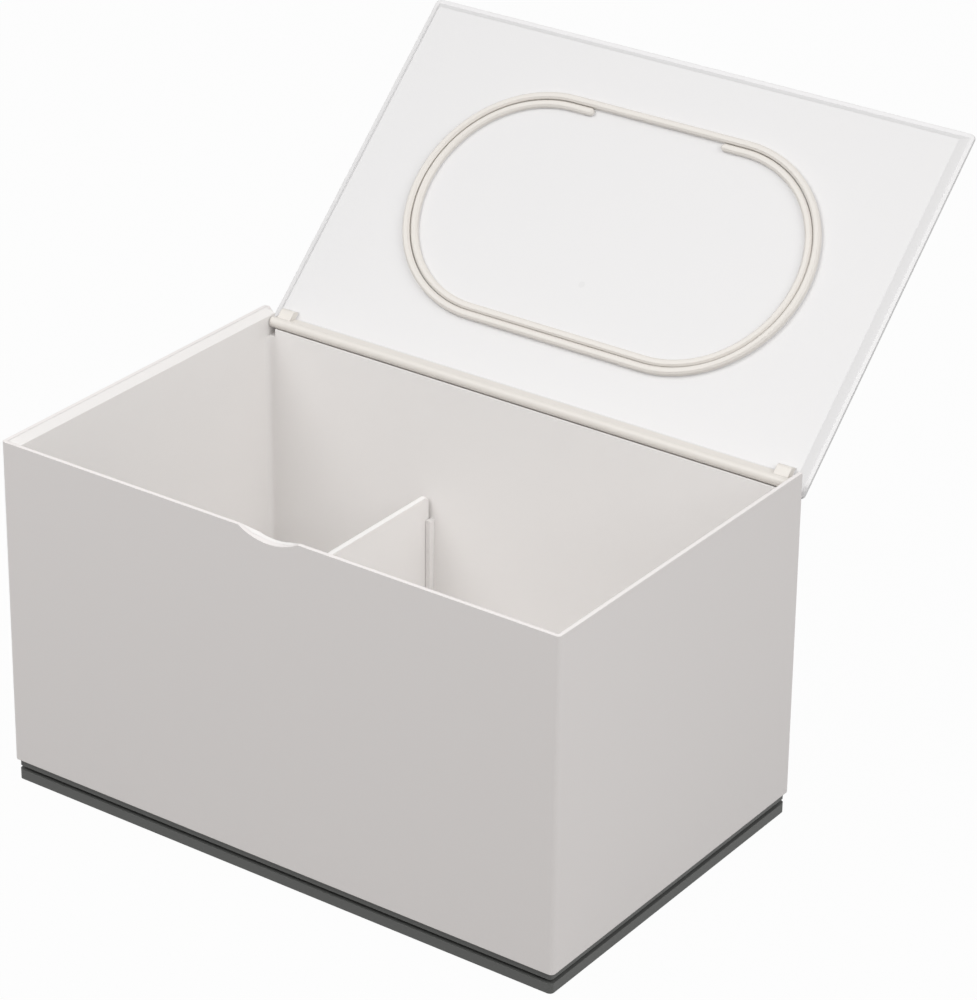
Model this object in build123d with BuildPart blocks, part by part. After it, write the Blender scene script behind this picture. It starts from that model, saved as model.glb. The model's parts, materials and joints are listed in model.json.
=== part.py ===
from build123d import *
import os
from math import atan, degrees, radians, sqrt, tan

os.makedirs("parts", exist_ok=True)

# A hinged-lid box for cotton pads and small toiletries, in millimetres.
# The origin is the middle of the underside, +Z is up, the front faces -Y and the hinge runs
# along the rear edge. The lid is drawn closed and then swung open to its stop.

# ---- driving dimensions ------------------------------------------------------------------
LENGTH = 200.0  # outside, along X, at the rim
DEPTH = 125.0  # outside, along Y, at the rim
PLINTH_HEIGHT = 7.0
BODY_HEIGHT = 108.0  # white body, above the plinth
FLARE = 0.45  # how much wider each side of the body is at its foot
CORNER = 1.5  # outside vertical corners

LAND = 1.3  # flat strip round the rim
BEVEL = 2.2  # slope inside the land, as deep as it is wide
REBATE = 2.0  # depth of the rebate that holds the rim of the liner
SHELL_WALL = 2.0
SHELL_FLOOR = 2.0
SEAM = 0.05  # fit between the shell and the liner
LINER_WALL = 1.45
LINER_DRAFT = 0.5  # degrees
LINER_FLOOR = 16.0  # height of the compartment floor above the table
LINER_FLOOR_THICK = 1.5
LINER_CORNER = 1.5

NOTCH_WIDTH = 21.4  # finger notch in the front rim
NOTCH_DEPTH = 3.0

LID_EDGE = 0.9  # thin outer edge of the lid
LID_SEAT = 0.1  # play between the closed lid and the rim
OPEN_ANGLE = 137.0

HINGE_INSET = 1.7  # hinge axis, in from the back face
HINGE_DROP = 4.4  # hinge axis, below the rim
BARREL_RADIUS = 1.7
BARREL_END_PLAY = 0.3
BARREL_PLAY = 0.35  # round the barrel, in its seat
LIP_DROP = 5.9  # top of the back wall, below the rim
LIP_END = 2.75  # the back wall is lower over this length at each end
LIP_NOTCH_DROP = 8.5
WEB_WIDTH = 2.2
PIN_RADIUS = 0.9
PIN_PLAY = 0.05
PIN_REACH = 8.0  # length of the pin inside the barrel
PIN_END_PLAY = 1.0  # the bore is deeper than the pin
EAR_DEPTH = 8.0  # hinge ears of the liner, in from the back
SWEEP_ARC = 130.0  # degrees that the swinging corners of the lid are cleared

LUG_WIDTH = 5.0
LUG_END = 1.2  # in from the end of the barrel
LUG_PROUD = 2.6
LUG_REACH = 4.6

RING_END_MARGIN = 27.25  # in from the ends of the lid
RING_SIDE_MARGIN = 22.0  # in from its long edges
RING_RIB = 2.4
RING_GROOVE = 0.3
RING_HEIGHT = 2.2
RING_INNER_HEIGHT = 1.9
RING_ROUNDING = 0.6  # along the tops of both ribs
RING_GAP_INSET = 7.25  # from the end of the straight run to the end of the inner rib

PAD_SPACE = 62.6  # left compartment, along X
DIVIDER_THICK = 1.8
DIVIDER_TOP = 69.0
DIVIDER_PLAY = 0.3
SWAB_SPACE = 28.0  # front compartment for swabs
SWAB_TOP = 62.0
GUIDE_RIB = 1.5
GUIDE_PROUD = 2.0
GUIDE_GAP = 0.15

FLANGE_INSET = 0.8
FLANGE_HEIGHT = 3.3
NECK_INSET = 2.6
PLINTH_WALL = 2.0
PLINTH_RIB = 1.6

SCREW_INSET_X = 22.0  # in from the outside
SCREW_INSET_Y = 20.5
SCREW_PLAY = 0.2
SCREW_HEAD_PLAY = 0.3
RIB_GAP = 1.0  # from the plinth ribs to the underside of the shell
SCREW_RADIUS = 1.5
SCREW_HEAD_RADIUS = 3.0
SCREW_HEAD = 2.0
SCREW_LENGTH = 11.0
SCREW_RECESS = 0.6  # head below the underside
BOSS_RADIUS = 4.5

OVERLAP = 1.0  # how far cutters and joined blocks run into their neighbour
OVERRUN = 5.0  # how far cutters run past the outside

# ---- sizes worked out from them ----------------------------------------------------------
RIM = PLINTH_HEIGHT + BODY_HEIGHT
FOOT = PLINTH_HEIGHT
HALF_X = LENGTH / 2
HALF_Y = DEPTH / 2
SIDE_DRAFT = degrees(atan(FLARE / BODY_HEIGHT))
INSET = LAND + BEVEL  # inner wall plane, in from the outside
IN_X = HALF_X - INSET
IN_Y = HALF_Y - INSET
BEVEL_FOOT = RIM - BEVEL

HINGE_Y = HALF_Y - HINGE_INSET
HINGE_Z = RIM - HINGE_DROP
HINGE = Axis((0, HINGE_Y, HINGE_Z), (1, 0, 0))
SEAT_RADIUS = BARREL_RADIUS + BARREL_PLAY
LIP = RIM - LIP_DROP
LIP_NOTCH = RIM - LIP_NOTCH_DROP
LIP_HALF = IN_X - LIP_END
BARREL_HALF = IN_X - BARREL_END_PLAY
LINER_OUT_X = IN_X + LINER_WALL
LINER_OUT_Y = IN_Y + LINER_WALL

LID_UNDER = RIM + LID_SEAT
PANEL = LID_UNDER - BEVEL

NOTCH_RADIUS = ((NOTCH_WIDTH / 2) ** 2 + NOTCH_DEPTH**2) / (2 * NOTCH_DEPTH)
RIM_OUT_X = HALF_X - LAND - SEAM
RIM_OUT_Y = HALF_Y - LAND - SEAM
EAR_SLOT = LINER_OUT_X + SEAM
EAR_SLOT_Y = HALF_Y - SHELL_WALL - OVERLAP

WEB_LENGTH = (PANEL - HINGE_Z + BEVEL / 2) * sqrt(2)  # from the hinge axis into the panel
LUG_UNDER = PANEL - LUG_PROUD
LUG_OUTER = BARREL_HALF - LUG_END
RING_HALF_LENGTH = HALF_X - RING_END_MARGIN
RING_HALF_WIDTH = HALF_Y - RING_SIDE_MARGIN
RING_GAP_HALF = RING_HALF_LENGTH - RING_HALF_WIDTH - RING_GAP_INSET
INNER_HALF_LENGTH = RING_HALF_LENGTH - RING_RIB - RING_GROOVE
INNER_HALF_WIDTH = RING_HALF_WIDTH - RING_RIB - RING_GROOVE

FLOOR_IN = (BEVEL_FOOT - LINER_FLOOR) * tan(radians(LINER_DRAFT))  # the walls lean in this much
SWAB_Y = SWAB_SPACE - IN_Y
DIVIDER_X = PAD_SPACE + DIVIDER_THICK / 2 - IN_X
GUIDE_PITCH = DIVIDER_THICK + 2 * GUIDE_GAP + GUIDE_RIB
GUIDE_DEPTH = GUIDE_PROUD + LINER_WALL / 2  # half of the wall is inside each rib
GUIDE_TIP_Y = IN_Y - FLOOR_IN + LINER_WALL / 2
GUIDE_TIP_X = FLOOR_IN - IN_X - LINER_WALL / 2

FLANGE_X = HALF_X + FLARE - FLANGE_INSET
FLANGE_Y = HALF_Y + FLARE - FLANGE_INSET
NECK_X = HALF_X + FLARE - NECK_INSET
NECK_Y = HALF_Y + FLARE - NECK_INSET
SCREW_X = HALF_X - SCREW_INSET_X
SCREW_Y = HALF_Y - SCREW_INSET_Y
SCREW_HOLE = SCREW_RADIUS + SCREW_PLAY
SCREW_DEPTH = SCREW_RECESS + SCREW_HEAD + SCREW_LENGTH - FOOT - SHELL_FLOOR


# ---- shapes that several pieces share ----------------------------------------------------
def lid_sweep_radius(inset):
    """Nearest the lid comes to the hinge axis at a distance in from the end of the rim."""
    if inset <= LAND:
        return HINGE_DROP
    depth = inset - LAND
    behind = max(inset - HINGE_INSET, 0)
    return sqrt(behind**2 + (HINGE_DROP - depth) ** 2)


# Room for the rear corners of the swinging lid: a solid of revolution about the hinge.
BEVEL_STEPS = (1, 0.8, 0.6, 0.4, 0.2, 0)  # shares of the slope, from its foot to the land
with BuildPart() as corner_sweep:
    with BuildSketch(Plane((0, HINGE_Y, HINGE_Z), x_dir=(1, 0, 0), z_dir=(0, -1, 0))):
        with BuildLine():
            Polyline(
                *[
                    (HALF_X - LAND - BEVEL * k, lid_sweep_radius(LAND + BEVEL * k) - SEAM)
                    for k in BEVEL_STEPS
                ],
                (HALF_X + OVERLAP, HINGE_DROP - SEAM),
                (HALF_X + OVERLAP, 2 * HINGE_DROP),
                (IN_X, 2 * HINGE_DROP),
                close=True,
            )
        make_face()
    revolve(axis=HINGE, revolution_arc=-SWEEP_ARC)
    mirror(about=Plane.YZ)

# Finger notch: a wide round cutter through the front wall.
with BuildPart() as finger_notch:
    with BuildSketch(Plane.XZ.offset(IN_Y - OVERRUN)):
        with Locations((0, RIM - NOTCH_DEPTH + NOTCH_RADIUS)):
            Circle(NOTCH_RADIUS)
    extrude(amount=INSET + 2 * OVERRUN)

# Everything above the lowered back wall, with the round seat of the barrel.
with BuildPart() as hinge_room:
    with BuildSketch(Plane.YZ.offset(-IN_X)):
        with Locations((HALF_Y, LIP)):
            Rectangle(2 * (INSET + OVERLAP), LIP_DROP + OVERRUN, align=(Align.CENTER, Align.MIN))
        with Locations((HINGE_Y, HINGE_Z)):
            Circle(SEAT_RADIUS)
    extrude(amount=2 * IN_X)
    with BuildSketch(Plane.XZ.offset(OVERRUN - IN_Y)):
        with Locations((LIP_HALF, LIP_NOTCH), (-IN_X, LIP_NOTCH)):
            Rectangle(LIP_END, LIP_NOTCH_DROP + OVERRUN, align=(Align.MIN, Align.MIN))
    extrude(amount=-INSET - 2 * OVERRUN)

# The two side slopes of the rim run on to the back, where no wall crosses them.
with BuildPart() as side_slopes:
    with BuildSketch(Plane.XZ):
        with BuildLine():
            Polyline(
                (-IN_X, BEVEL_FOOT),
                (IN_X, BEVEL_FOOT),
                (HALF_X - LAND, RIM),
                (HALF_X - LAND, RIM + OVERRUN),
                (LAND - HALF_X, RIM + OVERRUN),
                (LAND - HALF_X, RIM),
                close=True,
            )
        make_face()
    extrude(amount=-DEPTH)

# ---- outer shell -------------------------------------------------------------------------
with BuildPart() as outer_shell:
    with BuildSketch(Plane.XY.offset(FOOT)):
        RectangleRounded(LENGTH + 2 * FLARE, DEPTH + 2 * FLARE, CORNER)
    extrude(amount=BODY_HEIGHT, taper=SIDE_DRAFT)
    # inside, the wall is drafted the other way, so that it is thickest at the foot
    with BuildSketch(Plane.XY.offset(RIM)):
        Rectangle(2 * (HALF_X - SHELL_WALL), 2 * (HALF_Y - SHELL_WALL))
    extrude(amount=-(BODY_HEIGHT - SHELL_FLOOR), taper=SIDE_DRAFT, mode=Mode.SUBTRACT)
    # rebate for the liner's rim, with a sloped shoulder
    with BuildSketch(Plane.XY.offset(RIM)):
        Rectangle(2 * (HALF_X - LAND), 2 * (HALF_Y - LAND))
    extrude(amount=-REBATE, mode=Mode.SUBTRACT)
    with BuildSketch(Plane.XY.offset(RIM - REBATE)):
        Rectangle(2 * (HALF_X - LAND), 2 * (HALF_Y - LAND))
    extrude(amount=LAND - SHELL_WALL, taper=45, mode=Mode.SUBTRACT)
    # holes for the screws
    with BuildSketch(Plane.XY.offset(FOOT)):
        with GridLocations(2 * SCREW_X, 2 * SCREW_Y, 2, 2):
            Circle(SCREW_HOLE)
    extrude(amount=SHELL_FLOOR, mode=Mode.SUBTRACT)
    add(finger_notch.part, mode=Mode.SUBTRACT)
    add(hinge_room.part, mode=Mode.SUBTRACT)
    # the liner's hinge ears stand in the two rear corners
    with BuildSketch(Plane.XY.offset(LIP_NOTCH)):
        with Locations((IN_X - OVERLAP, EAR_SLOT_Y), (-EAR_SLOT, EAR_SLOT_Y)):
            Rectangle(EAR_SLOT - IN_X + OVERLAP, SHELL_WALL + OVERRUN, align=(Align.MIN, Align.MIN))
    extrude(amount=LIP_NOTCH_DROP + OVERRUN, mode=Mode.SUBTRACT)
    add(corner_sweep.part, mode=Mode.SUBTRACT)
outer_shell.part.label = "outer_shell"

# ---- liner: the compartment tray with the sloped rim ---------------------------------------
with BuildPart() as cavity:
    with BuildSketch(Plane.XY.offset(BEVEL_FOOT)):
        Rectangle(2 * IN_X, 2 * IN_Y)
    extrude(amount=LINER_FLOOR - BEVEL_FOOT, taper=LINER_DRAFT)
    fillet(cavity.edges().group_by(Axis.Z)[0] + cavity.edges().group_by(Axis.Z)[1], LINER_CORNER)

with BuildPart() as inner_liner:
    with BuildSketch(Plane.XY.offset(BEVEL_FOOT)):
        Rectangle(2 * LINER_OUT_X, 2 * LINER_OUT_Y)
    extrude(amount=LINER_FLOOR - LINER_FLOOR_THICK - BEVEL_FOOT, taper=LINER_DRAFT)
    # rim flange, with a sloped shoulder under it
    with BuildSketch(Plane.XY.offset(RIM - REBATE)):
        Rectangle(2 * RIM_OUT_X, 2 * RIM_OUT_Y)
    extrude(amount=REBATE - SEAM)
    with BuildSketch(Plane.XY.offset(RIM - REBATE)):
        Rectangle(2 * RIM_OUT_X, 2 * RIM_OUT_Y)
    extrude(amount=LAND - SHELL_WALL, taper=45)
    # ears that carry the hinge pins
    with BuildSketch(Plane.XY.offset(LIP_NOTCH + SEAM)):
        with Locations((IN_X, HALF_Y - SEAM), (-LINER_OUT_X, HALF_Y - SEAM)):
            Rectangle(LINER_WALL, EAR_DEPTH, align=(Align.MIN, Align.MAX))
    extrude(amount=LIP_NOTCH_DROP - 2 * SEAM)
    # bosses for the screws
    with BuildSketch(Plane.XY.offset(FOOT + SHELL_FLOOR)):
        with GridLocations(2 * SCREW_X, 2 * SCREW_Y, 2, 2):
            Circle(BOSS_RADIUS)
    extrude(amount=LINER_FLOOR - FOOT - SHELL_FLOOR - LINER_FLOOR_THICK / 2)
    # the compartments, then the slope of the rim, open at the back for the hinge
    add(cavity.part, mode=Mode.SUBTRACT)
    with BuildSketch(Plane.XY.offset(BEVEL_FOOT)):
        Rectangle(2 * IN_X, 2 * IN_Y)
    extrude(amount=BEVEL, taper=-45, mode=Mode.SUBTRACT)
    add(side_slopes.part, mode=Mode.SUBTRACT)
    # guide ribs for the dividers: on the front and back walls, and on the left wall
    with BuildSketch(Plane.XY.offset(LINER_FLOOR - LINER_FLOOR_THICK / 2)):
        with Locations((DIVIDER_X, GUIDE_TIP_Y), (DIVIDER_X, GUIDE_DEPTH - GUIDE_TIP_Y)):
            with GridLocations(GUIDE_PITCH, 0, 2, 1):
                Rectangle(GUIDE_RIB, GUIDE_DEPTH, align=(Align.CENTER, Align.MAX))
        with Locations((GUIDE_TIP_X, SWAB_Y)):
            with GridLocations(0, GUIDE_PITCH, 1, 2):
                Rectangle(GUIDE_DEPTH, GUIDE_RIB, align=(Align.MIN, Align.CENTER))
    extrude(amount=SWAB_TOP - LINER_FLOOR)
    # blind holes in the bosses, and the holes for the pins
    with BuildSketch(Plane.XY.offset(FOOT + SHELL_FLOOR)):
        with GridLocations(2 * SCREW_X, 2 * SCREW_Y, 2, 2):
            Circle(SCREW_RADIUS)
    extrude(amount=SCREW_DEPTH, mode=Mode.SUBTRACT)
    with BuildSketch(Plane.YZ.offset(-HALF_X)):
        with Locations((HINGE_Y, HINGE_Z)):
            Circle(PIN_RADIUS)
    extrude(amount=LENGTH, mode=Mode.SUBTRACT)
    add(finger_notch.part, mode=Mode.SUBTRACT)
    add(hinge_room.part, mode=Mode.SUBTRACT)
    add(corner_sweep.part, mode=Mode.SUBTRACT)
inner_liner.part.label = "inner_liner"

# ---- lid, drawn closed ---------------------------------------------------------------------
# The ring under the panel has two ribs with rounded tops; the inner one is open at the front.
with BuildPart() as outer_rib:
    with BuildSketch(Plane.XY.offset(PANEL)):
        SlotOverall(2 * RING_HALF_LENGTH, 2 * RING_HALF_WIDTH)
        SlotOverall(2 * (RING_HALF_LENGTH - RING_RIB), 2 * (RING_HALF_WIDTH - RING_RIB), mode=Mode.SUBTRACT)
    extrude(amount=-RING_HEIGHT)
    chamfer(outer_rib.faces().sort_by(Axis.Z)[0].edges(), RING_ROUNDING)

with BuildPart() as inner_rib:
    with BuildSketch(Plane.XY.offset(PANEL)):
        SlotOverall(2 * INNER_HALF_LENGTH, 2 * INNER_HALF_WIDTH)
        SlotOverall(2 * (INNER_HALF_LENGTH - RING_RIB), 2 * (INNER_HALF_WIDTH - RING_RIB), mode=Mode.SUBTRACT)
        with Locations((0, -INNER_HALF_WIDTH)):
            Rectangle(2 * RING_GAP_HALF, 4 * RING_RIB, mode=Mode.SUBTRACT)
        with Locations((0, RING_RIB / 2 - INNER_HALF_WIDTH)):
            with GridLocations(2 * RING_GAP_HALF, 0, 2, 1):
                Circle(RING_RIB / 2)
    extrude(amount=-RING_INNER_HEIGHT)
    chamfer(inner_rib.faces().sort_by(Axis.Z)[0].edges(), RING_ROUNDING)

with BuildPart() as lid_closed:
    with BuildSketch(Plane.XY.offset(LID_UNDER)):
        RectangleRounded(LENGTH, DEPTH, CORNER)
    extrude(amount=LID_EDGE)
    with BuildSketch(Plane.XY.offset(LID_UNDER)):
        Rectangle(2 * (HALF_X - LAND), 2 * (HALF_Y - LAND))
    extrude(amount=-BEVEL, taper=45)
    # barrel along the whole rear edge, and the web that joins it to the slope
    with BuildSketch(Plane.YZ.offset(-BARREL_HALF)):
        with Locations((HINGE_Y, HINGE_Z)):
            Circle(BARREL_RADIUS)
            Rectangle(WEB_LENGTH, WEB_WIDTH, rotation=135, align=(Align.MIN, Align.CENTER))
    extrude(amount=2 * BARREL_HALF)
    # a lug near each end stiffens the barrel against the panel
    with BuildSketch(Plane.YZ.offset(LUG_OUTER - LUG_WIDTH)) as lug_profile:
        with BuildLine():
            Polyline(
                (HINGE_Y, LUG_UNDER),
                (IN_Y - LUG_REACH + LUG_PROUD / 2, LUG_UNDER),
                (IN_Y - LUG_REACH, PANEL + LID_EDGE),
                (IN_Y, PANEL + LID_EDGE),
                close=True,
            )
        make_face()
        fillet(lug_profile.vertices().group_by(Axis.X)[1].sort_by(Axis.Y)[0], LUG_PROUD / 2)
    right_lug = extrude(amount=LUG_WIDTH)
    mirror(right_lug, about=Plane.YZ)
    add(outer_rib.part)
    add(inner_rib.part)
    # bores for the pins
    with BuildSketch(Plane.YZ.offset(-BARREL_HALF)):
        with Locations((HINGE_Y, HINGE_Z)):
            Circle(PIN_RADIUS + PIN_PLAY)
    extrude(amount=PIN_REACH + PIN_END_PLAY, mode=Mode.SUBTRACT)
    with BuildSketch(Plane.YZ.offset(BARREL_HALF)):
        with Locations((HINGE_Y, HINGE_Z)):
            Circle(PIN_RADIUS + PIN_PLAY)
    extrude(amount=-PIN_REACH - PIN_END_PLAY, mode=Mode.SUBTRACT)

with BuildPart() as lid:
    add(lid_closed.part.rotate(HINGE, -OPEN_ANGLE))
lid.part.label = "lid"

# ---- hinge pins ----------------------------------------------------------------------------
with BuildPart() as hinge_pin_right:
    with BuildSketch(Plane.YZ.offset(BARREL_HALF - PIN_REACH)):
        with Locations((HINGE_Y, HINGE_Z)):
            Circle(PIN_RADIUS)
    extrude(amount=PIN_REACH + LINER_OUT_X - BARREL_HALF)
    chamfer(hinge_pin_right.faces().sort_by(Axis.X)[0].edges(), PIN_RADIUS / 4)
hinge_pin_right.part.label = "hinge_pin_right"

with BuildPart() as hinge_pin_left:
    mirror(hinge_pin_right.part, about=Plane.YZ)
hinge_pin_left.part.label = "hinge_pin_left"

# ---- dividers ------------------------------------------------------------------------------
with BuildPart() as cross_divider:
    with BuildSketch(Plane.YZ.offset(DIVIDER_X - DIVIDER_THICK / 2)) as cross_profile:
        with BuildLine():
            Polyline(
                (IN_Y - FLOOR_IN - DIVIDER_PLAY, LINER_FLOOR),
                (IN_Y - FLOOR_IN - DIVIDER_PLAY, DIVIDER_TOP),
                (FLOOR_IN - IN_Y + DIVIDER_PLAY, DIVIDER_TOP),
                (FLOOR_IN - IN_Y + DIVIDER_PLAY, LINER_FLOOR),
                close=True,
            )
        make_face()
        chamfer(cross_profile.vertices().group_by(Axis.Y)[0], LINER_CORNER)
        fillet(cross_profile.vertices().group_by(Axis.Y)[-1], LINER_CORNER)
    extrude(amount=DIVIDER_THICK)
    with BuildSketch(Plane.XY.offset(LINER_FLOOR)):
        with Locations((DIVIDER_X - DIVIDER_THICK / 2, SWAB_Y)):
            with GridLocations(0, GUIDE_PITCH, 1, 2):
                Rectangle(2 * GUIDE_PROUD, GUIDE_RIB, align=(Align.MAX, Align.CENTER))
    extrude(amount=SWAB_TOP - LINER_FLOOR)
cross_divider.part.label = "cross_divider"

with BuildPart() as swab_divider:
    with BuildSketch(Plane.XZ.offset(-SWAB_Y - DIVIDER_THICK / 2)) as swab_profile:
        with BuildLine():
            Polyline(
                (FLOOR_IN - IN_X + DIVIDER_PLAY, LINER_FLOOR),
                (FLOOR_IN - IN_X + DIVIDER_PLAY, SWAB_TOP),
                (DIVIDER_X - DIVIDER_THICK / 2 - DIVIDER_PLAY, SWAB_TOP),
                (DIVIDER_X - DIVIDER_THICK / 2 - DIVIDER_PLAY, LINER_FLOOR),
                close=True,
            )
        make_face()
        chamfer(swab_profile.vertices().group_by(Axis.Y)[0], LINER_CORNER)
        fillet(swab_profile.vertices().group_by(Axis.Y)[-1], LINER_CORNER)
    extrude(amount=DIVIDER_THICK)
swab_divider.part.label = "swab_divider"

# ---- plinth --------------------------------------------------------------------------------
with BuildPart() as base_plinth:
    with BuildSketch():
        RectangleRounded(2 * FLANGE_X, 2 * FLANGE_Y, CORNER)
    extrude(amount=FLANGE_HEIGHT)
    with BuildSketch():
        RectangleRounded(2 * NECK_X, 2 * NECK_Y, CORNER)
    extrude(amount=PLINTH_HEIGHT)
    with BuildSketch(Plane.XY.offset(PLINTH_WALL)):
        RectangleRounded(2 * (NECK_X - PLINTH_WALL), 2 * (NECK_Y - PLINTH_WALL), CORNER)
    extrude(amount=PLINTH_HEIGHT, mode=Mode.SUBTRACT)
    # stiffening ribs through the screw bosses
    with BuildSketch(Plane.XY.offset(PLINTH_WALL)):
        with GridLocations(0, 2 * SCREW_Y, 1, 2):
            Rectangle(2 * NECK_X - PLINTH_WALL, PLINTH_RIB)
        with GridLocations(SCREW_X, 0, 3, 1):
            Rectangle(PLINTH_RIB, 2 * NECK_Y - PLINTH_WALL)
    extrude(amount=PLINTH_HEIGHT - PLINTH_WALL - RIB_GAP)
    with BuildSketch(Plane.XY.offset(PLINTH_WALL)):
        with GridLocations(2 * SCREW_X, 2 * SCREW_Y, 2, 2):
            Circle(BOSS_RADIUS)
    extrude(amount=PLINTH_HEIGHT - PLINTH_WALL)
    with Locations(Plane.XY.rotated((180, 0, 0))):
        with GridLocations(2 * SCREW_X, 2 * SCREW_Y, 2, 2):
            CounterBoreHole(
                SCREW_HOLE, SCREW_HEAD_RADIUS + SCREW_HEAD_PLAY, SCREW_RECESS + SCREW_HEAD, PLINTH_HEIGHT
            )
base_plinth.part.label = "base_plinth"

# ---- screws --------------------------------------------------------------------------------
with BuildPart() as base_screws:
    with BuildSketch(Plane.XY.offset(SCREW_RECESS)):
        with GridLocations(2 * SCREW_X, 2 * SCREW_Y, 2, 2):
            Circle(SCREW_HEAD_RADIUS)
    extrude(amount=SCREW_HEAD)
    with BuildSketch(Plane.XY.offset(SCREW_RECESS)):
        with GridLocations(2 * SCREW_X, 2 * SCREW_Y, 2, 2):
            Circle(SCREW_RADIUS)
    extrude(amount=SCREW_HEAD + SCREW_LENGTH)
    # cross recess
    with BuildSketch(Plane.XY.offset(SCREW_RECESS)):
        with GridLocations(2 * SCREW_X, 2 * SCREW_Y, 2, 2):
            Rectangle(SCREW_HEAD_RADIUS, SCREW_HEAD_RADIUS / 4)
            Rectangle(SCREW_HEAD_RADIUS / 4, SCREW_HEAD_RADIUS)
    extrude(amount=SCREW_HEAD / 2, mode=Mode.SUBTRACT)
base_screws.part.label = "base_screws"

for piece in (
    outer_shell,
    inner_liner,
    lid,
    hinge_pin_left,
    hinge_pin_right,
    cross_divider,
    swab_divider,
    base_plinth,
    base_screws,
):
    export_step(piece.part, f"parts/{piece.part.label}.step")
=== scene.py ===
"""Finish, light and camera for a white hinged-lid box on a grey plinth."""

import json
import math

import bpy
from bpy.props import FloatProperty, FloatVectorProperty, PointerProperty
from mathutils import Euler, Matrix, Vector


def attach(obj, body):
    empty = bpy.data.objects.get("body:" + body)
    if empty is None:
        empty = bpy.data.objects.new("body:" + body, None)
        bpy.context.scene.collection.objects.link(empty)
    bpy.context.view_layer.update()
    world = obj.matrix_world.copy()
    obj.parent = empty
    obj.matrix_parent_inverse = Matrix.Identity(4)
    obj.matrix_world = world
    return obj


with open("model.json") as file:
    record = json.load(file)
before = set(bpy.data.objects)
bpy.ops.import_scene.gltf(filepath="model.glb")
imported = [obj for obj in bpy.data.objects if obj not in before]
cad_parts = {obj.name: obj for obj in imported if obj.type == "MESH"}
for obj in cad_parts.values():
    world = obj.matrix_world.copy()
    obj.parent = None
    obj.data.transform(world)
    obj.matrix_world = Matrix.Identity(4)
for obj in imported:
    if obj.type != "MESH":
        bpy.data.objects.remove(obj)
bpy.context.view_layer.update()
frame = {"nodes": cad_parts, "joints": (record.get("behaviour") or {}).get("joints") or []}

bl_info = {
    "name": "Hinged-lid vanity box",
    "version": (1, 0, 0),
    "blender": (4, 5, 0),
    "location": "View3D > Sidebar > Vanity box",
    "description": "Dresses the moulded box, its lid and its plinth, and sets the studio around them",
    "category": "Object",
}

MM = 0.001

# The lid stands open in the frame: its panel faces INWARD, over the box, through PANEL_FACE.
LID_JOINT = frame["joints"][0]
OPEN_ANGLE = math.radians(LID_JOINT["range_deg"][1])
HINGE = Vector(LID_JOINT["pos_m"])
PANEL_ABOVE_HINGE = 2.3 * MM
SWING = Matrix.Rotation(-OPEN_ANGLE, 3, "X")
INWARD = SWING @ Vector((0, 0, -1))
PANEL_FACE = HINGE + SWING @ Vector((0, 0, PANEL_ABOVE_HINGE))
RIB_SHADE_START = 0.1 * MM  # off the panel, where the painted warm shade on the ring, barrel and lugs begins
RIB_SHADE_FULL = 0.6 * MM
GATE_FROM_HINGE = 41.9 * MM
GATE_MARK = HINGE + SWING @ Vector((0, -GATE_FROM_HINGE, PANEL_ABOVE_HINGE))
GATE_RADIUS = 0.8 * MM
GATE_FADE = 1.3 * MM
GATE_SHADE = 0.95

# Collar of the plinth, a slim band close under the shell with the dark groove below it.
COLLAR_INSET = 0.15 * MM  # in from the flange
COLLAR_THICKNESS = 1.95 * MM
COLLAR_FOOT = 4.6 * MM
COLLAR_TOP = 6.98 * MM
COLLAR_CORNER = 1.2 * MM
COLLAR_CORNER_STEPS = 5
COLLAR_SMOOTH = math.radians(30)
UPRIGHT = 0.9  # least Z share of a direction that counts as upright

# Surface of the plastic and the steel.
CLOUD_SCALE = 14.0
CLOUD_DETAIL = 3.0
GLOSS_SPREAD = 0.12
GRAIN_SCALE = 1500.0
GRAIN_DETAIL = 2.0
GRAIN_DEPTH = 0.02 * MM
EDGE_SAMPLES = 6
STREAK_SCALE = 900.0
STREAK_SPREAD = 0.08
PIN_COLOUR = (0.62, 0.62, 0.61)
PIN_ROUGHNESS = 0.28
SCREW_COLOUR = (0.55, 0.56, 0.56)
SCREW_ROUGHNESS = 0.35
DIVIDER_DULLER = 0.05  # added to the roughness
PLINTH_ROUGHNESS = 0.55
PLINTH_CLOUDING = 0.06
PLINTH_GRAIN = 0.5

# Studio, in metres.
FLOOR_SIZE = 8.0
FLOOR_COLOUR = (0.27, 0.265, 0.26)
FLOOR_ROUGHNESS = 0.9
FLOOR_WHITE_SHARE = 0.975  # the rest of the floor takes the shadow of the box
KEY_PLACE = (-0.28, -0.42, 0.80)
KEY_AIM = (0, 0.02, 0.1)
KEY_SIZE = 0.6
FILL_PLACE = (0.84, -0.20, 0.78)
FILL_AIM = (0, 0, 0.08)
FILL_SIZE = 0.7

SENSOR = 36.0  # mm, along the taller side of the picture
NEAREST = 0.01  # m, where the camera's view begins


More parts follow.
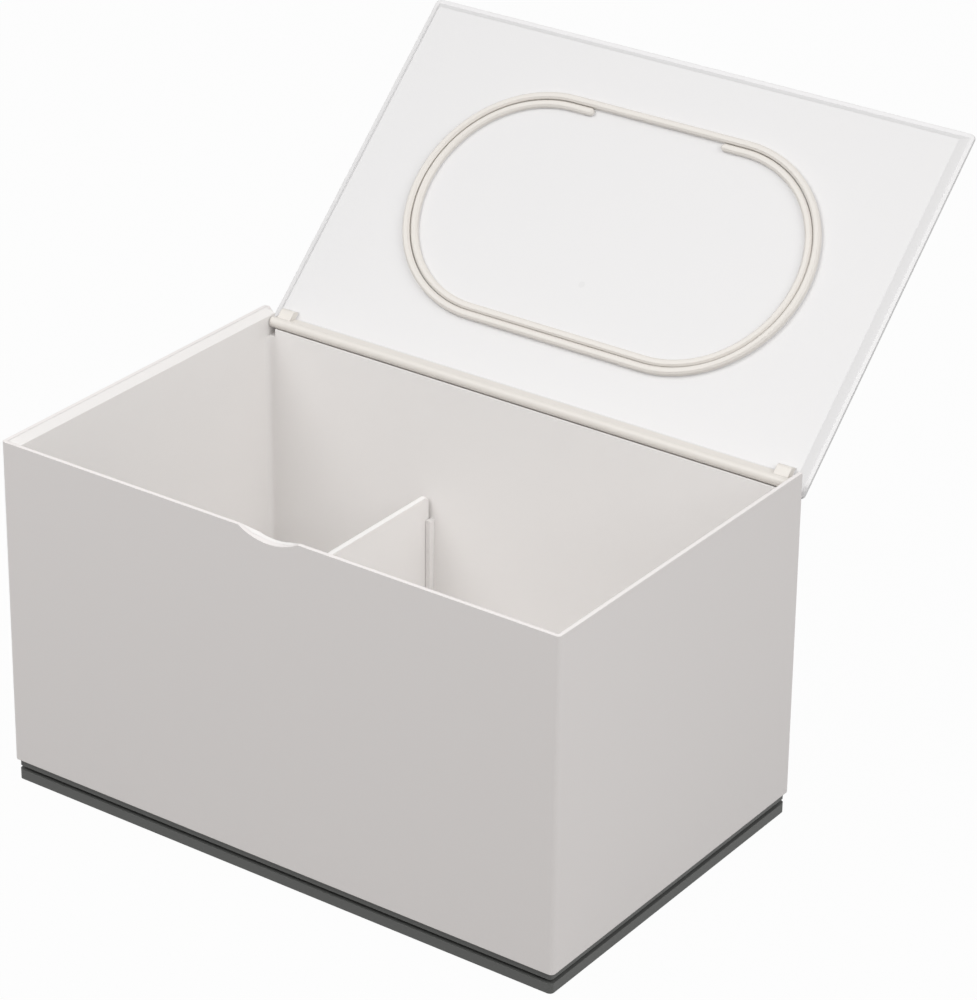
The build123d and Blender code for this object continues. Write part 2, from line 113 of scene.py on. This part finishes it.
# ---- sizes and colours that a user would change --------------------------------------------
class PlasticSettings(bpy.types.PropertyGroup):
    """Colours and surface of the moulded plastic."""

    shell: FloatVectorProperty(
        name="Shell",
        description="Colour of the outer shell",
        subtype="COLOR",
        default=(0.86, 0.825, 0.81),
        min=0,
        max=1,
    )
    liner: FloatVectorProperty(
        name="Liner",
        description="Colour of the compartment tray and the dividers",
        subtype="COLOR",
        default=(0.89, 0.87, 0.855),
        min=0,
        max=1,
    )
    lid: FloatVectorProperty(
        name="Lid",
        description="Colour of the lid",
        subtype="COLOR",
        default=(0.765, 0.757, 0.757),
        min=0,
        max=1,
    )
    # Painted shade: a darker, warmer copy of the lid colour, put on the ring, barrel and lugs in place of
    # the shade they get
    painted_rib_shade: FloatVectorProperty(
        name="Lid ribs",
        description="Colour of the ribs, the barrel and the lugs of the lid",
        subtype="COLOR",
        default=(0.755, 0.72, 0.675),
        min=0,
        max=1,
    )
    plinth: FloatVectorProperty(
        name="Plinth",
        description="Colour of the grey plinth",
        subtype="COLOR",
        default=(0.108, 0.11, 0.106),
        min=0,
        max=1,
    )
    roughness: FloatProperty(
        name="Roughness",
        description="Roughness of the satin white plastic",
        default=0.42,
        min=0,
        max=1,
    )
    edge_radius: FloatProperty(
        name="Edge radius",
        description="Radius that the shading gives the edges of the plastic pieces",
        default=0.22 * MM,
        min=0,
        unit="LENGTH",
    )


class StudioSettings(bpy.types.PropertyGroup):
    """Camera and light."""

    lens: FloatProperty(name="Lens", description="Focal length, mm", default=140.58, min=1)
    distance: FloatProperty(
        name="Distance", description="From the target to the camera", default=1.1718, unit="LENGTH"
    )
    azimuth: FloatProperty(
        name="Azimuth",
        description="Turn of the camera about Z",
        default=math.radians(35.305),
        subtype="ANGLE",
    )
    elevation: FloatProperty(
        name="Elevation",
        description="Camera above the horizon",
        default=math.radians(26.752),
        subtype="ANGLE",
    )
    roll: FloatProperty(
        name="Roll",
        description="Turn about the line of sight",
        default=math.radians(0.753),
        subtype="ANGLE",
    )
    target: FloatVectorProperty(
        name="Target",
        description="Point in the middle of the picture",
        default=(9.915 * MM, 30.910 * MM, 91.296 * MM),
        subtype="TRANSLATION",
    )
    world: FloatProperty(
        name="World", description="Strength of the even surrounding light", default=0.48, min=0
    )
    key: FloatProperty(name="Key", description="Power of the overhead softbox, watts", default=3.8, min=0)
    fill: FloatProperty(name="Fill", description="Power of the side softbox, watts", default=4.6, min=0)


# ---- materials -----------------------------------------------------------------------------
def moulded_group():
    """Node group of the moulded surface: slight clouding, uneven gloss, a fine skin and soft edges."""
    group = bpy.data.node_groups.new("moulded_skin", "ShaderNodeTree")
    group.interface.new_socket(name="Colour", in_out="INPUT", socket_type="NodeSocketColor")
    group.interface.new_socket(name="Clouding", in_out="INPUT", socket_type="NodeSocketFloat")
    group.interface.new_socket(name="Roughness", in_out="INPUT", socket_type="NodeSocketFloat")
    group.interface.new_socket(name="Grain", in_out="INPUT", socket_type="NodeSocketFloat")
    group.interface.new_socket(name="Edge Radius", in_out="INPUT", socket_type="NodeSocketFloat")
    group.interface.new_socket(name="Colour", in_out="OUTPUT", socket_type="NodeSocketColor")
    group.interface.new_socket(name="Roughness", in_out="OUTPUT", socket_type="NodeSocketFloat")
    group.interface.new_socket(name="Normal", in_out="OUTPUT", socket_type="NodeSocketVector")
    nodes, links = group.nodes, group.links
    given = nodes.new("NodeGroupInput")
    result = nodes.new("NodeGroupOutput")
    place = nodes.new("ShaderNodeTexCoord")

    cloud = nodes.new("ShaderNodeTexNoise")
    cloud.inputs["Scale"].default_value = CLOUD_SCALE
    cloud.inputs["Detail"].default_value = CLOUD_DETAIL
    links.new(place.outputs["Object"], cloud.inputs["Vector"])
    centred = nodes.new("ShaderNodeMath")
    centred.operation = "SUBTRACT"
    centred.inputs[1].default_value = 0.5
    links.new(cloud.outputs["Fac"], centred.inputs[0])
    amount = nodes.new("ShaderNodeMath")
    amount.operation = "MULTIPLY_ADD"
    amount.inputs[2].default_value = 1.0
    links.new(centred.outputs[0], amount.inputs[0])
    links.new(given.outputs["Clouding"], amount.inputs[1])
    shade = nodes.new("ShaderNodeMix")
    shade.data_type = "RGBA"
    shade.blend_type = "MULTIPLY"
    shade.inputs["Factor"].default_value = 1.0
    links.new(given.outputs["Colour"], shade.inputs["A"])
    links.new(amount.outputs[0], shade.inputs["B"])
    links.new(shade.outputs["Result"], result.inputs["Colour"])

    rough = nodes.new("ShaderNodeMath")
    rough.operation = "MULTIPLY_ADD"
    rough.inputs[1].default_value = GLOSS_SPREAD
    links.new(centred.outputs[0], rough.inputs[0])
    links.new(given.outputs["Roughness"], rough.inputs[2])
    links.new(rough.outputs[0], result.inputs["Roughness"])

    grain = nodes.new("ShaderNodeTexNoise")
    grain.inputs["Scale"].default_value = GRAIN_SCALE
    grain.inputs["Detail"].default_value = GRAIN_DETAIL
    links.new(place.outputs["Object"], grain.inputs["Vector"])
    bump = nodes.new("ShaderNodeBump")
    bump.inputs["Distance"].default_value = GRAIN_DEPTH
    links.new(given.outputs["Grain"], bump.inputs["Strength"])
    links.new(grain.outputs["Fac"], bump.inputs["Height"])
    edge = nodes.new("ShaderNodeBevel")
    edge.samples = EDGE_SAMPLES
    links.new(given.outputs["Edge Radius"], edge.inputs["Radius"])
    links.new(edge.outputs["Normal"], bump.inputs["Normal"])
    links.new(bump.outputs["Normal"], result.inputs["Normal"])
    return group


def moulded(name, colour, roughness, edge_radius, clouding=0.02, grain=0.2):
    """Moulded plastic in one colour."""
    material = bpy.data.materials.new(name)
    material.use_nodes = True
    nodes, links = material.node_tree.nodes, material.node_tree.links
    surface = nodes["Principled BSDF"]
    skin = nodes.new("ShaderNodeGroup")
    skin.node_tree = bpy.data.node_groups.get("moulded_skin") or moulded_group()
    skin.inputs["Colour"].default_value = (*colour, 1)
    skin.inputs["Clouding"].default_value = clouding
    skin.inputs["Roughness"].default_value = roughness
    skin.inputs["Grain"].default_value = grain
    skin.inputs["Edge Radius"].default_value = edge_radius
    links.new(skin.outputs["Colour"], surface.inputs["Base Color"])
    links.new(skin.outputs["Roughness"], surface.inputs["Roughness"])
    links.new(skin.outputs["Normal"], surface.inputs["Normal"])
    return material


def turned_steel(name, colour, roughness):
    """Drawn or turned steel with a slightly uneven polish."""
    material = bpy.data.materials.new(name)
    material.use_nodes = True
    nodes, links = material.node_tree.nodes, material.node_tree.links
    surface = nodes["Principled BSDF"]
    surface.inputs["Metallic"].default_value = 1.0
    surface.inputs["Base Color"].default_value = (*colour, 1)
    place = nodes.new("ShaderNodeTexCoord")
    streaks = nodes.new("ShaderNodeTexNoise")
    streaks.inputs["Scale"].default_value = STREAK_SCALE
    links.new(place.outputs["Object"], streaks.inputs["Vector"])
    spread = nodes.new("ShaderNodeMapRange")
    spread.inputs["To Min"].default_value = roughness - STREAK_SPREAD
    spread.inputs["To Max"].default_value = roughness + STREAK_SPREAD
    links.new(streaks.outputs["Fac"], spread.inputs["Value"])
    links.new(spread.outputs["Result"], surface.inputs["Roughness"])
    return material


def dress(node, material):
    """One material all over a CAD node."""
    piece = frame["nodes"][node]
    piece.data.materials.clear()
    piece.data.materials.append(material)


# ---- mesh help -----------------------------------------------------------------------------
def pick_edges(mesh, test):
    """Selects the edges whose direction passes the test."""
    for edge in mesh.edges:
        run = mesh.vertices[edge.vertices[1]].co - mesh.vertices[edge.vertices[0]].co
        edge.select = test(run.normalized())


def pick_faces(mesh, test):
    """Selects the faces whose normal passes the test."""
    for face in mesh.polygons:
        face.select = test(face.normal)


# ---- operators -----------------------------------------------------------------------------
class VANITY_OT_case(bpy.types.Operator):
    """Shell, liner and dividers in white moulded plastic"""

    bl_idname = "vanity.case"
    bl_label = "Case"

    def execute(self, context):
        plastic = context.scene.vanity_plastic
        rough, radius = plastic.roughness, plastic.edge_radius
        white = moulded("shell_plastic", plastic.shell, rough, radius)
        liner = moulded("liner_plastic", plastic.liner, rough, radius)
        divider = moulded("divider_plastic", plastic.liner, rough + DIVIDER_DULLER, radius)
        dress("outer_shell", white)
        dress("inner_liner", liner)
        dress("cross_divider", divider)
        dress("swab_divider", divider)
        return {"FINISHED"}


class VANITY_OT_lid(bpy.types.Operator):
    """Lid with its ribbed ring, barrel and lugs, which get a painted warm shade"""

    bl_idname = "vanity.lid"
    bl_label = "Lid"

    def execute(self, context):
        plastic = context.scene.vanity_plastic
        white = moulded("lid_plastic", plastic.lid, plastic.roughness, plastic.edge_radius)
        self.paint_rib_shade(white, plastic)
        dress("lid", white)
        return {"FINISHED"}

    def paint_rib_shade(self, material, plastic):
        """Painted shade: the ring, barrel and lugs, standing off the panel, get a darker, warmer colour
        in place of the warm shade that bounced light gives them.
        """
        nodes, links = material.node_tree.nodes, material.node_tree.links
        skin = next(node for node in nodes if node.type == "GROUP")
        place = nodes.new("ShaderNodeTexCoord")
        off_panel = nodes.new("ShaderNodeVectorMath")
        off_panel.operation = "DOT_PRODUCT"
        off_panel.inputs[1].default_value = INWARD
        links.new(place.outputs["Object"], off_panel.inputs[0])
        # Painted shade: the farther a point stands off the panel, the more of the darker, warmer colour
        # it gets
        rib_shade_mask = nodes.new("ShaderNodeMapRange")
        rib_shade_mask.inputs["From Min"].default_value = PANEL_FACE.dot(INWARD) + RIB_SHADE_START
        rib_shade_mask.inputs["From Max"].default_value = PANEL_FACE.dot(INWARD) + RIB_SHADE_FULL
        links.new(off_panel.outputs["Value"], rib_shade_mask.inputs["Value"])
        rib_shade_mix = nodes.new("ShaderNodeMix")
        rib_shade_mix.data_type = "RGBA"
        rib_shade_mix.inputs["A"].default_value = (*plastic.lid, 1)
        rib_shade_mix.inputs["B"].default_value = (*plastic.painted_rib_shade, 1)
        links.new(rib_shade_mask.outputs["Result"], rib_shade_mix.inputs["Factor"])
        self.gate_mark(material, rib_shade_mix.outputs["Result"], skin.inputs["Colour"])

    def gate_mark(self, material, colour, skin_colour):
        """Faint round witness of the mould's gate, low in the middle of the panel."""
        nodes, links = material.node_tree.nodes, material.node_tree.links
        place = nodes.new("ShaderNodeTexCoord")
        away = nodes.new("ShaderNodeVectorMath")
        away.operation = "DISTANCE"
        away.inputs[1].default_value = GATE_MARK
        links.new(place.outputs["Object"], away.inputs[0])
        spot = nodes.new("ShaderNodeMapRange")
        spot.inputs["From Min"].default_value = GATE_RADIUS
        spot.inputs["From Max"].default_value = GATE_FADE
        spot.inputs["To Min"].default_value = GATE_SHADE
        spot.inputs["To Max"].default_value = 1.0
        links.new(away.outputs["Value"], spot.inputs["Value"])
        shade = nodes.new("ShaderNodeMix")
        shade.data_type = "RGBA"
        shade.blend_type = "MULTIPLY"
        shade.inputs["Factor"].default_value = 1.0
        links.new(colour, shade.inputs["A"])
        links.new(spot.outputs["Result"], shade.inputs["B"])
        links.new(shade.outputs["Result"], skin_colour)


class VANITY_OT_plinth(bpy.types.Operator):
    """Grey plinth and its collar"""

    bl_idname = "vanity.plinth"
    bl_label = "Plinth"

    def execute(self, context):
        plastic = context.scene.vanity_plastic
        grey = moulded(
            "plinth_plastic",
            plastic.plinth,
            PLINTH_ROUGHNESS,
            plastic.edge_radius,
            clouding=PLINTH_CLOUDING,
            grain=PLINTH_GRAIN,
        )
        dress("base_plinth", grey)
        self.collar(grey)
        return {"FINISHED"}

    def collar(self, material):
        """The upper band of the plinth, round its neck."""
        flange = frame["nodes"]["base_plinth"].dimensions
        size_x = flange.x - 2 * COLLAR_INSET
        size_y = flange.y - 2 * COLLAR_INSET
        bpy.ops.object.select_all(action="DESELECT")
        bpy.ops.mesh.primitive_cube_add(size=1.0, location=(0, 0, (COLLAR_FOOT + COLLAR_TOP) / 2))
        band = bpy.context.active_object
        band.name = "plinth_collar"
        band.scale = (size_x, size_y, COLLAR_TOP - COLLAR_FOOT)
        bpy.ops.object.transform_apply(location=True, rotation=True, scale=True)
        bpy.ops.object.mode_set(mode="EDIT")
        bpy.ops.mesh.select_mode(type="EDGE")
        bpy.ops.mesh.select_all(action="DESELECT")
        bpy.ops.object.mode_set(mode="OBJECT")
        pick_edges(band.data, lambda run: abs(run.z) > UPRIGHT)
        bpy.ops.object.mode_set(mode="EDIT")
        bpy.ops.mesh.bevel(offset=COLLAR_CORNER, segments=COLLAR_CORNER_STEPS)
        bpy.ops.mesh.select_mode(type="FACE")
        bpy.ops.mesh.select_all(action="DESELECT")
        bpy.ops.object.mode_set(mode="OBJECT")
        pick_faces(band.data, lambda normal: abs(normal.z) > UPRIGHT)
        bpy.ops.object.mode_set(mode="EDIT")
        bpy.ops.mesh.inset(thickness=COLLAR_THICKNESS)
        bpy.ops.mesh.bridge_edge_loops()
        bpy.ops.mesh.select_all(action="SELECT")
        bpy.ops.mesh.normals_make_consistent(inside=False)
        bpy.ops.object.mode_set(mode="OBJECT")
        bpy.ops.object.shade_smooth_by_angle(angle=COLLAR_SMOOTH)
        band.data.materials.append(material)
        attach(band, "case")


class VANITY_OT_metal(bpy.types.Operator):
    """Steel hinge pins and screws"""

    bl_idname = "vanity.metal"
    bl_label = "Pins and screws"

    def execute(self, context):
        pin = turned_steel("pin_steel", PIN_COLOUR, PIN_ROUGHNESS)
        screw = turned_steel("screw_steel", SCREW_COLOUR, SCREW_ROUGHNESS)
        dress("hinge_pin_left", pin)
        dress("hinge_pin_right", pin)
        dress("base_screws", screw)
        return {"FINISHED"}


class VANITY_OT_stage(bpy.types.Operator):
    """Pale floor, softboxes, even surrounding light and the camera"""

    bl_idname = "vanity.stage"
    bl_label = "Stage"

    def execute(self, context):
        studio = context.scene.vanity_studio
        self.floor()
        self.surroundings(studio)
        self.softbox("key_light", studio.key, KEY_PLACE, KEY_AIM, KEY_SIZE)
        self.softbox("fill_light", studio.fill, FILL_PLACE, FILL_AIM, FILL_SIZE)
        self.camera(studio)
        view = context.scene.view_settings
        view.view_transform = "Standard"
        return {"FINISHED"}

    def floor(self):
        """A wide pale floor, near white to the camera and in reflections, with a faint shadow."""
        bpy.ops.object.select_all(action="DESELECT")
        bpy.ops.mesh.primitive_plane_add(size=FLOOR_SIZE, location=(0, 0, 0))
        floor = bpy.context.active_object
        floor.name = "studio_floor"
        material = bpy.data.materials.new("floor_paper")
        material.use_nodes = True
        nodes, links = material.node_tree.nodes, material.node_tree.links
        surface = nodes["Principled BSDF"]
        surface.inputs["Base Color"].default_value = (*FLOOR_COLOUR, 1)
        surface.inputs["Roughness"].default_value = FLOOR_ROUGHNESS
        glow = nodes.new("ShaderNodeEmission")
        glow.inputs["Color"].default_value = (1, 1, 1, 1)
        glow.inputs["Strength"].default_value = 1.0
        path = nodes.new("ShaderNodeLightPath")
        seen = nodes.new("ShaderNodeMath")
        seen.operation = "MAXIMUM"
        links.new(path.outputs["Is Camera Ray"], seen.inputs[0])
        links.new(path.outputs["Is Glossy Ray"], seen.inputs[1])
        share = nodes.new("ShaderNodeMath")
        share.operation = "MULTIPLY"
        share.inputs[1].default_value = FLOOR_WHITE_SHARE
        links.new(seen.outputs[0], share.inputs[0])
        mix = nodes.new("ShaderNodeMixShader")
        links.new(share.outputs[0], mix.inputs["Fac"])
        links.new(surface.outputs[0], mix.inputs[1])
        links.new(glow.outputs[0], mix.inputs[2])
        links.new(mix.outputs[0], nodes["Material Output"].inputs["Surface"])
        floor.data.materials.append(material)

    def surroundings(self, studio):
        """Even light all round, plain white to the camera and through anything clear."""
        world = bpy.data.worlds.new("studio_world")
        bpy.context.scene.world = world
        world.use_nodes = True
        nodes, links = world.node_tree.nodes, world.node_tree.links
        light = nodes["Background"]
        light.inputs["Color"].default_value = (1, 1, 1, 1)
        light.inputs["Strength"].default_value = studio.world
        white = nodes.new("ShaderNodeBackground")
        white.inputs["Color"].default_value = (1, 1, 1, 1)
        white.inputs["Strength"].default_value = 1.0
        path = nodes.new("ShaderNodeLightPath")
        seen = nodes.new("ShaderNodeMath")
        seen.operation = "MAXIMUM"
        links.new(path.outputs["Is Camera Ray"], seen.inputs[0])
        links.new(path.outputs["Is Transmission Ray"], seen.inputs[1])
        mix = nodes.new("ShaderNodeMixShader")
        links.new(seen.outputs[0], mix.inputs["Fac"])
        links.new(light.outputs[0], mix.inputs[1])
        links.new(white.outputs[0], mix.inputs[2])
        links.new(mix.outputs[0], nodes["World Output"].inputs["Surface"])

    def softbox(self, name, power, place, aim, size):
        """A square area lamp at a place, turned to a point."""
        data = bpy.data.lights.new(name, "AREA")
        data.shape = "SQUARE"
        data.size = size
        data.energy = power
        lamp = bpy.data.objects.new(name, data)
        bpy.context.scene.collection.objects.link(lamp)
        lamp.location = place
        lamp.visible_camera = False
        lamp.rotation_euler = (Vector(aim) - Vector(place)).to_track_quat("-Z", "Y").to_euler()

    def camera(self, studio):
        """Camera at the studio settings' angle and distance from the target."""
        data = bpy.data.cameras.new("camera")
        data.lens = studio.lens
        data.sensor_width = SENSOR
        data.clip_start = NEAREST
        camera = bpy.data.objects.new("camera", data)
        bpy.context.scene.collection.objects.link(camera)
        turn = Euler((math.pi / 2 - studio.elevation, 0, studio.azimuth)).to_matrix()
        back = turn @ Vector((0, 0, studio.distance))
        turn = (turn @ Matrix.Rotation(studio.roll, 3, "Z")).to_4x4()
        camera.matrix_world = Matrix.Translation(Vector(studio.target) + back) @ turn
        bpy.context.scene.camera = camera


class VANITY_PT_panel(bpy.types.Panel):
    """Settings and steps of the box"""

    bl_label = "Vanity box"
    bl_space_type = "VIEW_3D"
    bl_region_type = "UI"
    bl_category = "Vanity box"

    def draw(self, context):
        layout = self.layout
        for settings in (context.scene.vanity_plastic, context.scene.vanity_studio):
            for name in settings.__annotations__:
                layout.prop(settings, name)
        for step in STEPS:
            layout.operator(step.bl_idname)


STEPS = (VANITY_OT_case, VANITY_OT_lid, VANITY_OT_plinth, VANITY_OT_metal, VANITY_OT_stage)
CLASSES = (PlasticSettings, StudioSettings, *STEPS, VANITY_PT_panel)


def register():
    for cls in CLASSES:
        bpy.utils.register_class(cls)
    bpy.types.Scene.vanity_plastic = PointerProperty(type=PlasticSettings)
    bpy.types.Scene.vanity_studio = PointerProperty(type=StudioSettings)


def unregister():
    del bpy.types.Scene.vanity_studio
    del bpy.types.Scene.vanity_plastic
    for cls in reversed(CLASSES):
        bpy.utils.unregister_class(cls)


def main():
    register()
    bpy.ops.object.select_all(action="DESELECT")
    bpy.ops.vanity.case()
    bpy.ops.vanity.lid()
    bpy.ops.vanity.plinth()
    bpy.ops.vanity.metal()
    bpy.ops.vanity.stage()


if __name__ == "__main__":
    main()
